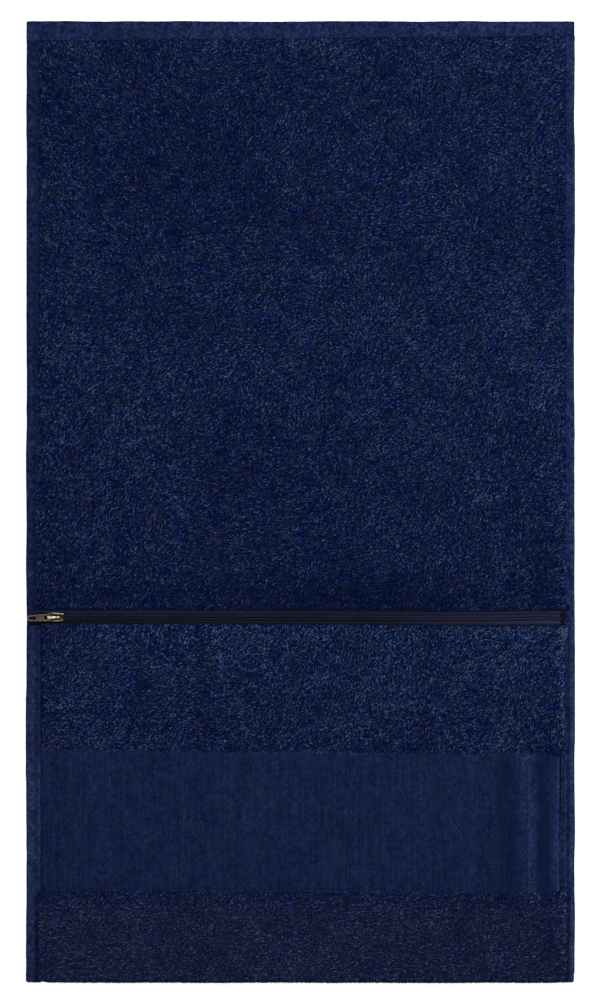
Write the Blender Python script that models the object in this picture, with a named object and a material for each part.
"""Quick dry towel with a zipped pocket: one length of terry cloth whose lower end is folded up to the front
and closed by a coil zip along the pocket's mouth.

Frame: the towel lies flat. Origin at the centre of its underside, +X across the width, +Y towards the plain
hemmed end, +Z up. The pocket front is on top, and left means -X. All sizes are millimetres, turned into
metres by MM.
"""

import math

import bmesh
import bpy
from mathutils import Matrix, Vector

MM = 0.001
SIDES = ((-1, "left"), (1, "right"))


def about(centre, reach):
    """The range that reaches equally far to both sides of a centre."""
    return centre - reach, centre + reach


def layer(start, thickness):
    """The range that begins at start."""
    return start, start + thickness


# ---------------------------------------------------------------- driving dimensions
WIDTH = 500.0  # across, hem to hem
LENGTH = 875.0  # along, fold to top hem
GAP = 0.3  # clearance between neighbouring pieces

TERRY = 3.8  # one layer of terry, loops on both faces
TERRY_SOFTEN = 0.8  # rounding of the terry's edges
CAVITY = 4.9  # space between the back and the pocket front

HEM_T = 2.6  # turned and stitched flat weave
HEM_SOFTEN = 0.6
HEM_Z = 0.9  # underside of the back hems
SIDE_HEM = 12.0  # width of the side hems
TOP_HEM = 15.0  # width of the top hem
POCKET_HEM = 14.0  # width of the pocket's side hems

BAND_T = 1.8  # flat woven border across the pocket
BAND_TOP = -228.1
BAND_BOTTOM = -353.8
FOLD_Y = 176.0  # axis where the plain end folds over
FOLD_Z = 4.7

ZIP_Y = -105.2  # centre line of the zip
MOUTH_Y = -112.8  # edge of the pocket's lip
TAPE_T = 0.7
TAPE_Z = 6.2  # underside of the tapes beside the coils
TAPE_IN = 1.6  # tape's inner edge from the centre line
TAPE_LEFT, TAPE_RIGHT = -249.0, 242.0

SLIDER_LEFT = -230.5
SLIDER_LEN = 15.2
PIVOT_X, PIVOT_Z = -228.0, 11.35  # where the pull tab turns on the bridge
PULL_DROOP = 4.0  # degrees below level
PULL_YAW = 2.5  # degrees, slack of the eye on the bridge

# ---------------------------------------------------------------- places that follow from them
HALF_W, HALF_L = WIDTH / 2, LENGTH / 2
FRONT_Z = TERRY + CAVITY  # underside of the pocket front
FRONT_TOP = FRONT_Z + TERRY
BEND_R = FRONT_TOP / 2  # outer radius of the bottom fold
BEND_Y = -HALF_L + BEND_R  # centre of the bottom fold

BACK_IN = HALF_W - SIDE_HEM - GAP  # half width of the back cloth
FRONT_IN = HALF_W - POCKET_HEM - GAP  # half width of the pocket front
BOTTOM_IN = BEND_Y + GAP
TOP_IN = HALF_L - TOP_HEM - GAP
POCKET_HEM_TOP_Y = MOUTH_Y - 0.2

HEM_TOP = HEM_Z + HEM_T
TAPE_TOP = TAPE_Z + TAPE_T
BACK_Z_RANGE = layer(0, TERRY)
HEM_Z_RANGE = layer(HEM_Z, HEM_T)
FRONT_Z_RANGE = (FRONT_Z, FRONT_TOP)
TAPE_X_RANGE = (TAPE_LEFT, TAPE_RIGHT)
POCKET_END = (BOTTOM_IN, FOLD_Y - GAP / 2)  # Y range below the plain end's fold
PLAIN_END = (FOLD_Y + GAP / 2, TOP_IN)  # Y range above it

# ---------------------------------------------------------------- scene and materials
for old in list(bpy.data.objects):
    bpy.data.objects.remove(old, do_unlink=True)
scene = bpy.context.scene


def material(name, colour, roughness, metallic=0.0):
    made = bpy.data.materials.new(name)
    made.use_nodes = True
    shader = made.node_tree.nodes["Principled BSDF"]
    shader.inputs["Base Color"].default_value = (*colour, 1.0)
    shader.inputs["Roughness"].default_value = roughness
    shader.inputs["Metallic"].default_value = metallic
    return made


NAVY_TERRY = material("terry_navy", colour=(0.012, 0.022, 0.075), roughness=0.95)
NAVY_BORDER = material("border_navy", colour=(0.010, 0.019, 0.062), roughness=0.8)
NAVY_HEM = material("hem_navy", colour=(0.014, 0.024, 0.078), roughness=0.85)
ZIP_TAPE = material("zip_tape", colour=(0.010, 0.010, 0.024), roughness=0.8)
ZIP_COIL = material("zip_coil", colour=(0.014, 0.013, 0.026), roughness=0.45)
THREAD = material("thread", colour=(0.014, 0.022, 0.070), roughness=0.7)
OLD_BRASS = material("old_brass", colour=(0.36, 0.30, 0.20), roughness=0.35, metallic=1.0)


# ---------------------------------------------------------------- mesh and object helpers
def finish(bm):
    bmesh.ops.recalc_face_normals(bm, faces=bm.faces)
    mesh = bpy.data.meshes.new("piece")
    bm.to_mesh(mesh)
    bm.free()
    return mesh


def block(x_range, y_range, z_range, soften=0.0, segments=2):
    """A box over three ranges, its edges rounded by soften."""
    ranges = (x_range, y_range, z_range)
    bm = bmesh.new()
    bmesh.ops.create_cube(bm, size=1.0)
    bmesh.ops.scale(bm, vec=[(high - low) * MM for low, high in ranges], verts=bm.verts)
    bmesh.ops.translate(bm, vec=[(low + high) / 2 * MM for low, high in ranges], verts=bm.verts)
    if soften:
        bmesh.ops.bevel(
            bm, geom=bm.edges[:], offset=soften * MM, segments=segments, affect="EDGES", profile=0.5
        )
    return finish(bm)


def prism(outline, axis, span):
    """A flat outline pushed along one axis. The outline holds the other two coordinates in X, Y, Z order."""
    low, high = span
    axis_index = "xyz".index(axis)
    bm = bmesh.new()
    corners = []
    for pair in outline:
        point = list(pair)
        point.insert(axis_index, low)
        corners.append(bm.verts.new(Vector(point) * MM))
    moved = bmesh.ops.extrude_face_region(bm, geom=[bm.faces.new(corners)])
    push = [0, 0, 0]
    push[axis_index] = (high - low) * MM
    bmesh.ops.translate(
        bm, vec=push, verts=[v for v in moved["geom"] if isinstance(v, bmesh.types.BMVert)]
    )
    return finish(bm)


def arc(centre_x, centre_y, radius, start, end, steps):
    """Points on a circle, angles in degrees."""
    angles = [math.radians(start + (end - start) * i / steps) for i in range(steps + 1)]
    return [(centre_x + radius * math.cos(a), centre_y + radius * math.sin(a)) for a in angles]


def shifted(points, first, second):
    return [(first + a, second + b) for a, b in points]


def zip_plan(half, start_x, direction=1):
    """A plan symmetric about the zip's centre line, from (distance from start_x, half width) rows."""
    upper = [(start_x + direction * along, ZIP_Y + wide) for along, wide in half]
    lower = [(start_x + direction * along, ZIP_Y - wide) for along, wide in reversed(half)]
    return upper + lower


def empty(name, x, y, z):
    made = bpy.data.objects.new(name, None)
    made.location = (x * MM, y * MM, z * MM)
    scene.collection.objects.link(made)
    return made


def place(name, mesh, mat, parent, smooth=None):
    """Links the mesh as an object whose origin is its parent's place. Edges above smooth degrees stay sharp."""
    mesh.name = name
    mesh.materials.append(mat)
    if smooth is not None:
        mesh.shade_smooth()
        mesh.set_sharp_from_angle(angle=math.radians(smooth))
    made = bpy.data.objects.new(name, mesh)
    scene.collection.objects.link(made)
    mesh.transform(Matrix.Translation(-parent.location))
    made.parent = parent
    return made


def boolean(target, tool, operation):
    tool.hide_render = True
    tool.display_type = "WIRE"
    modifier = target.modifiers.new(operation.lower() + "_" + tool.name, "BOOLEAN")
    modifier.operation = operation
    modifier.object = tool
    modifier.solver = "EXACT"


# ---------------------------------------------------------------- frame of the moving groups
towel = empty("towel_origin", 0, 0, 0)
plain_end = empty("plain_end_fold_axis", 0, FOLD_Y, FOLD_Z)
lip = empty("pocket_lip_axis", 0, BAND_TOP, FRONT_TOP)
slider = empty("zip_slider_origin", SLIDER_LEFT, ZIP_Y, 0)
pull = empty("pull_tab_axis", PIVOT_X, ZIP_Y, PIVOT_Z)
pull.rotation_euler = (0.0, math.radians(-PULL_DROOP), math.radians(PULL_YAW))

# ---------------------------------------------------------------- back layer of cloth and its hems
for end, y_range, group in (("pocket_end", POCKET_END, towel), ("plain_end", PLAIN_END, plain_end)):
    cloth = block(about(0, BACK_IN), y_range, BACK_Z_RANGE, TERRY_SOFTEN)
    place(f"back_cloth_{end}", cloth, NAVY_TERRY, group)
    for side, word in SIDES:
        x_range = sorted((side * HALF_W, side * (HALF_W - SIDE_HEM)))
        hem = block(x_range, y_range, HEM_Z_RANGE, HEM_SOFTEN)
        place(f"side_hem_{word}_{end}", hem, NAVY_HEM, group)

top_hem = block(about(0, HALF_W), (HALF_L - TOP_HEM, HALF_L), HEM_Z_RANGE, HEM_SOFTEN)
place("top_hem", top_hem, NAVY_HEM, plain_end)

# ---------------------------------------------------------------- bottom fold: the cloth turns up to the front
bend_outer = arc(BEND_Y, BEND_R, BEND_R, start=90, end=270, steps=16)
bend_inner = arc(BEND_Y, BEND_R, CAVITY / 2, start=270, end=90, steps=10)
bend = prism(bend_outer + bend_inner, "x", about(0, HALF_W))
place("bottom_fold", bend, NAVY_TERRY, towel, smooth=40)

# ---------------------------------------------------------------- pocket front: terry, border band, terry lip
front_x = about(0, FRONT_IN)
front_low = block(front_x, (BOTTOM_IN, BAND_BOTTOM - GAP), FRONT_Z_RANGE, TERRY_SOFTEN)
place("pocket_front_below_border", front_low, NAVY_TERRY, towel)

band_z = layer(FRONT_Z + (TERRY - BAND_T) / 2, BAND_T)
band = block(front_x, (BAND_BOTTOM, BAND_TOP - GAP), band_z, soften=0.3, segments=1)
place("pocket_border_band", band, NAVY_BORDER, towel)

lip_terry = block(front_x, (BAND_TOP + GAP, MOUTH_Y), FRONT_Z_RANGE, TERRY_SOFTEN)
place("pocket_lip_terry", lip_terry, NAVY_TERRY, lip)

# ---------------------------------------------------------------- pocket side hems
# They lie on the back's side hems and rise to the pocket front.
POCKET_HEM_Z = HEM_TOP + GAP
POCKET_HEM_RISE = 3.9
# columns: distance from the centre line, height above POCKET_HEM_Z
POCKET_HEM_PROFILE = [
    (HALF_W, 0.0),
    (HALF_W, HEM_T),
    (HALF_W - 8.4, HEM_T),
    (HALF_W - POCKET_HEM, HEM_T + POCKET_HEM_RISE),
    (HALF_W - POCKET_HEM, POCKET_HEM_RISE),
    (HALF_W - 7.8, 0.0),
]
for side, word in SIDES:
    profile = [(side * out, POCKET_HEM_Z + up) for out, up in POCKET_HEM_PROFILE]
    hem = prism(profile, "y", (BOTTOM_IN, POCKET_HEM_TOP_Y))
    place(f"pocket_side_hem_{word}", hem, NAVY_HEM, towel)

# ---------------------------------------------------------------- zip tapes
# The upper tape steps down from the coil to lie on the back cloth.
TAPE_REST = TERRY + GAP  # underside where it lies on the cloth
# columns: Y from the zip's centre line, Z
UPPER_TAPE_PROFILE = [
    (TAPE_IN, TAPE_Z),
    (5.0, TAPE_Z),
    (6.9, TAPE_REST),
    (10.5, TAPE_REST),
    (10.5, TAPE_REST + TAPE_T),
    (7.2, TAPE_REST + TAPE_T),
    (5.3, TAPE_TOP),
    (TAPE_IN, TAPE_TOP),
]
upper_tape = prism(shifted(UPPER_TAPE_PROFILE, ZIP_Y, 0), "x", TAPE_X_RANGE)
place("zip_tape_upper", upper_tape, ZIP_TAPE, towel)

# The lower tape runs full width along the mouth, and its hidden part under the lip stops short of the side hems.
HIDDEN_TAPE_HALF = FRONT_IN - 1.0
HIDDEN_TAPE_Y = ZIP_Y - 19.0
TAPE_SHOULDER_Y = MOUTH_Y + 0.3
# columns: X, Y
LOWER_TAPE_PLAN = [
    (TAPE_LEFT, ZIP_Y - TAPE_IN),
    (TAPE_LEFT, TAPE_SHOULDER_Y),
    (-HIDDEN_TAPE_HALF, TAPE_SHOULDER_Y),
    (-HIDDEN_TAPE_HALF, HIDDEN_TAPE_Y),
    (HIDDEN_TAPE_HALF, HIDDEN_TAPE_Y),
    (HIDDEN_TAPE_HALF, TAPE_SHOULDER_Y),
    (TAPE_RIGHT, TAPE_SHOULDER_Y),
    (TAPE_RIGHT, ZIP_Y - TAPE_IN),
]
place("zip_tape_lower", prism(LOWER_TAPE_PLAN, "z", (TAPE_Z, TAPE_TOP)), ZIP_TAPE, lip)

# ---------------------------------------------------------------- zip coils, meshed along the centre line
COIL_Z, COIL_T = 7.1, 1.8
COIL_OUT = 2.8  # spine's outer edge from the centre line
COIL_PITCH = 1.5
COIL_LEFT, COIL_RIGHT = -226.1, 235.4
COIL_REACH = 0.5  # how far the turns swing past the centre line
COIL_CLEAR = 0.2  # from the shared zigzag to each coil


def coil_outline(side):
    """The plan of one coil: a straight spine beside the tape's edge, and pointed turns that reach past the centre.
    Both coils follow one zigzag, one on each side of it, so the turns of one stand between the turns of the other."""
    turns = int((COIL_RIGHT - COIL_LEFT) / COIL_PITCH)
    points = []
    for i in range(2 * turns + 1):
        zigzag = COIL_REACH if i % 2 else -COIL_REACH
        points.append((COIL_LEFT + i * COIL_PITCH / 2, ZIP_Y + zigzag + side * COIL_CLEAR))
    points.append((points[-1][0], ZIP_Y + side * COIL_OUT))
    points.append((COIL_LEFT, ZIP_Y + side * COIL_OUT))
    return points


for side, word, group in ((1, "upper", towel), (-1, "lower", lip)):
    coil = prism(coil_outline(side), "z", layer(COIL_Z, COIL_T))
    place(f"zip_coil_{word}", coil, ZIP_COIL, group)

# ---------------------------------------------------------------- bar tacks across the zip's two ends
TACK_X_RANGES = {"left": (-238.6, -234.4), "right": (236.4, 241.2)}
TACK_Y_RANGE = (ZIP_Y - 7.0, ZIP_Y + 5.2)
TACK_T = 1.2
for word, x_range in TACK_X_RANGES.items():
    tack = block(x_range, TACK_Y_RANGE, layer(TAPE_TOP + GAP, TACK_T), soften=0.4)
    place(f"bar_tack_{word}", tack, THREAD, towel)

# ---------------------------------------------------------------- seams: thread lying on the cloth
SEAM_W, SEAM_T = 0.6, 0.4
HEM_SEAM_IN = 1.6  # seam from the hem's inner edge
POCKET_SEAM_IN = 5.4  # pocket seam's inner edge from the towel's side
HEM_SEAM_START_Y = ZIP_Y + 12.0
TOP_SEAM_END = 1.5  # top seam stops this far short of the sides


def seam(name, x_range, y_range, cloth_z, parent):
    place(name, block(x_range, y_range, layer(cloth_z + GAP, SEAM_T)), THREAD, parent)


def side_seam_x(side, inner):
    return sorted((side * inner, side * (inner + SEAM_W)))


for side, word in SIDES:
    hem_x = side_seam_x(side, HALF_W - SIDE_HEM + HEM_SEAM_IN)
    pocket_x = side_seam_x(side, HALF_W - POCKET_SEAM_IN)
    lower_y = (HEM_SEAM_START_Y, POCKET_END[1])
    pocket_y = (BOTTOM_IN, POCKET_HEM_TOP_Y)
    seam(f"hem_seam_{word}_zip_to_fold", hem_x, lower_y, HEM_TOP, towel)
    seam(f"hem_seam_{word}_plain_end", hem_x, PLAIN_END, HEM_TOP, plain_end)
    seam(f"pocket_seam_{word}", pocket_x, pocket_y, POCKET_HEM_Z + HEM_T, towel)

top_seam_y = layer(HALF_L - TOP_HEM + HEM_SEAM_IN, SEAM_W)
seam("top_hem_seam", about(0, HALF_W - TOP_SEAM_END), top_seam_y, HEM_TOP, plain_end)

upper_seam_x = (TAPE_LEFT + 14, TAPE_RIGHT - 6)
seam("zip_seam_upper", upper_seam_x, layer(ZIP_Y + 8.4, SEAM_W), TAPE_REST + TAPE_T, towel)
seam("zip_seam_lower", about(0, FRONT_IN - 1), layer(ZIP_Y - 10.6, SEAM_W), FRONT_TOP, lip)

# ---------------------------------------------------------------- slider body: two plates joined by the diamond
PLATE = 1.0  # thickness of each plate
CHANNEL_LOW, CHANNEL_HIGH = 5.9, 9.2
CUT_PAST = 2.0  # how far the cutters pass the slider's ends
SLOT_REACH = 8.0  # tape slots' cutter, each side of the centre line
NOTCH_DEPTH, NOTCH_HALF = 1.6, 1.3
NOTCH_Z_RANGE = (8.0, 12.0)
DIAMOND_SINK = 0.4  # how far the diamond runs into each plate
slider_right = SLIDER_LEFT + SLIDER_LEN

# columns: X from the slider's left end, half width
BODY_HALF_PLAN = [
    (0.0, 2.6), (1.0, 3.7), (2.8, 4.4), (5.0, 4.5), (9.0, 4.3),
    (SLIDER_LEN - 1.0, 4.2), (SLIDER_LEN, 3.6),
]
CHANNEL_HALF_PLAN = [(-CUT_PAST, 3.7), (2.0, 3.6), (8.0, 3.1), (SLIDER_LEN + CUT_PAST, 3.1)]
# columns: X from the slider's left end, Y from the zip's centre line
DIAMOND_PLAN = [(0.5, -0.5), (1.9, -1.2), (4.1, 0.0), (1.9, 1.2), (0.5, 0.5)]

body_z = (CHANNEL_LOW - PLATE, CHANNEL_HIGH + PLATE)
body_mesh = prism(zip_plan(BODY_HALF_PLAN, SLIDER_LEFT), "z", body_z)
body = place("slider_body", body_mesh, OLD_BRASS, slider, smooth=30)

channel = prism(zip_plan(CHANNEL_HALF_PLAN, SLIDER_LEFT), "z", (CHANNEL_LOW, CHANNEL_HIGH))
tape_slots = block(
    (SLIDER_LEFT - CUT_PAST, slider_right + CUT_PAST),
    about(ZIP_Y, SLOT_REACH),
    (CHANNEL_LOW, TAPE_TOP + GAP),
)
# A notch in the middle of the right end leaves the top plate's two prongs.
notch_x = (slider_right - NOTCH_DEPTH, slider_right + CUT_PAST)
notch = block(notch_x, about(ZIP_Y, NOTCH_HALF), NOTCH_Z_RANGE)
diamond_z = (CHANNEL_LOW - DIAMOND_SINK, CHANNEL_HIGH + DIAMOND_SINK)
diamond = prism(shifted(DIAMOND_PLAN, SLIDER_LEFT, ZIP_Y), "z", diamond_z)

for name, mesh, operation in (
    ("cut_channel", channel, "DIFFERENCE"),
    ("cut_tape_slots", tape_slots, "DIFFERENCE"),
    ("cut_rear_notch", notch, "DIFFERENCE"),
    ("add_diamond", diamond, "UNION"),
):
    boolean(body, place(name, mesh, OLD_BRASS, slider), operation)

# ---------------------------------------------------------------- slider bridge, an arch that holds the pull
BRIDGE_Z = CHANNEL_HIGH + PLATE + 0.1
BRIDGE_HALF = 1.2
# columns: X from the slider's left end, height above BRIDGE_Z; the outside of the arch, then the inside
BRIDGE_PROFILE = [
    (0.2, 0.0), (0.2, 1.7),
    *arc(1.5, 1.6, 1.25, start=170, end=100, steps=4),
    (3.6, 3.0), (6.2, 2.95), (8.4, 2.35), (10.6, 1.2), (12.0, 0.0),
    (8.3, 0.0), (8.2, 1.4), (7.6, 2.0), (2.0, 2.0), (1.4, 1.6), (1.4, 0.0),
]
bridge = prism(shifted(BRIDGE_PROFILE, SLIDER_LEFT, BRIDGE_Z), "y", about(ZIP_Y, BRIDGE_HALF))
place("slider_bridge", bridge, OLD_BRASS, slider, smooth=40)

# ---------------------------------------------------------------- pull tab, its eye round the bridge
PULL_T = 1.1
EYE_HALF = 1.65  # half width of the eye
EYE_LEN = 5.0  # from the pivot to the eye's left end
BAR_HALF = 0.55  # half width of the bar left at the pivot
BAR_CUT_END = 3.0  # the cutter right of the bar ends here, past the tab
PULL_CUT_Z_RANGE = (8, 14)
# columns: distance left of the pivot, half width
PULL_HALF_PLAN = [
    (-0.75, 2.4), (-0.4, 2.95), (2.5, 3.1), (6.5, 3.05),
    (12.0, 2.75), (18.6, 2.45), (20.2, 1.7), (20.8, 0.6),
]
PULL_SLOT_HALF_PLAN = [(12.6, 1.35), (18.0, 1.25), (19.0, 0.6)]

tab_plan = zip_plan(PULL_HALF_PLAN, PIVOT_X, direction=-1)
tab_mesh = prism(tab_plan, "z", about(PIVOT_Z, PULL_T / 2))
tab = place("pull_tab", tab_mesh, OLD_BRASS, pull, smooth=35)

eye_y = about(ZIP_Y, EYE_HALF)
eye = block((PIVOT_X - EYE_LEN, PIVOT_X - BAR_HALF), eye_y, PULL_CUT_Z_RANGE)
bar_cut = block((PIVOT_X + BAR_HALF, PIVOT_X + BAR_CUT_END), eye_y, PULL_CUT_Z_RANGE)
slot_plan = zip_plan(PULL_SLOT_HALF_PLAN, PIVOT_X, direction=-1)
slot = prism(slot_plan, "z", PULL_CUT_Z_RANGE)
for name, mesh in (("cut_pull_eye", eye), ("cut_pull_bar", bar_cut), ("cut_pull_slot", slot)):
    boolean(tab, place(name, mesh, OLD_BRASS, pull), "DIFFERENCE")
